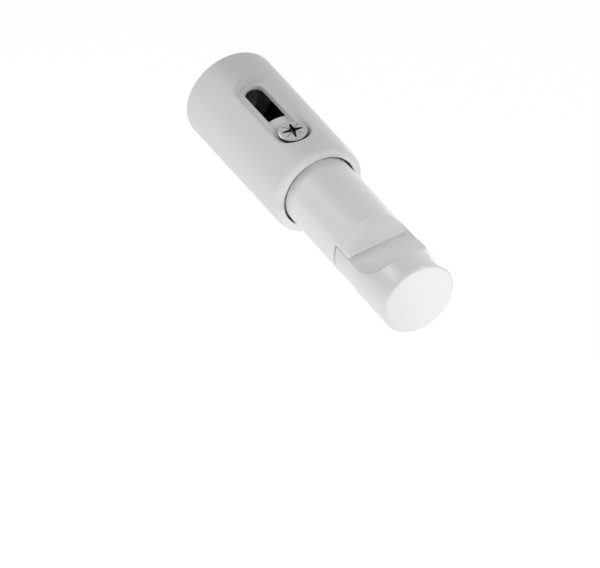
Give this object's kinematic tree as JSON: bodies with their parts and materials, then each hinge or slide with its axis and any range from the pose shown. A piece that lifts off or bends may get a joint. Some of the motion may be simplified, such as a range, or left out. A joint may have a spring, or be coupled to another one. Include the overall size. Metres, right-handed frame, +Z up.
{
  "type": "telescopic radiator wall bracket",
  "caption": "Telescopic wall bracket for a tubular radiator: a slotted sleeve, a sliding stem locked by a screw, and a clamp that grips neighbouring rails.",
  "frame": {"origin": "centre of the wall face", "axes": "+Y into the wall, +Z up, X along the rails; the bracket reaches out along -Y"},
  "size_m": [0.031, 0.1126, 0.031],
  "materials": {
    "sleeve_white": "satin white moulding",
    "liner_black": "black moulded liner",
    "stem_white": "satin white moulding",
    "head_white": "soft gloss white moulding",
    "nickel_screw": "bright nickel-plated steel",
    "zinc_steel": "zinc-plated steel",
    "brass": "turned brass"
  },
  "bodies": {
    "sleeve": {"wall_sleeve": "sleeve_white", "guide_liner": "liner_black"},
    "stem": {"stem": "stem_white", "lock_nut": "zinc_steel", "clamp_washer": "zinc_steel", "clamp_spring_washer": "zinc_steel"},
    "lock_screw": {"lock_screw": "nickel_screw"},
    "clamp_screw": {"clamp_screw": "zinc_steel"},
    "clamp_head": {"clamp_head": "head_white", "head_insert": "brass"}
  },
  "joints": [
    {"name": "depth_slide", "type": "slide", "parent": "sleeve", "child": "stem", "axis": [0, 1, 0], "range_m": [0, 0.0231]},
    {"name": "lock_screw_turn", "type": "hinge", "parent": "stem", "child": "lock_screw", "pos_m": [0, -0.041, 0.0131], "axis": [0, 0, 1], "range_deg": [0, 720]},
    {"name": "clamp_screw_turn", "type": "hinge", "parent": "stem", "child": "clamp_screw", "pos_m": [0, -0.0698, 0], "axis": [0, 1, 0], "range_deg": [0, 2700]},
    {"name": "clamp_head_slide", "type": "slide", "parent": "stem", "child": "clamp_head", "axis": [0, -1, 0], "range_m": [0, 0.006]}
  ],
  "couplings": [
    {"joint": "clamp_screw_turn", "follows": "clamp_head_slide", "rad_per_m": 7853.9}
  ]
}
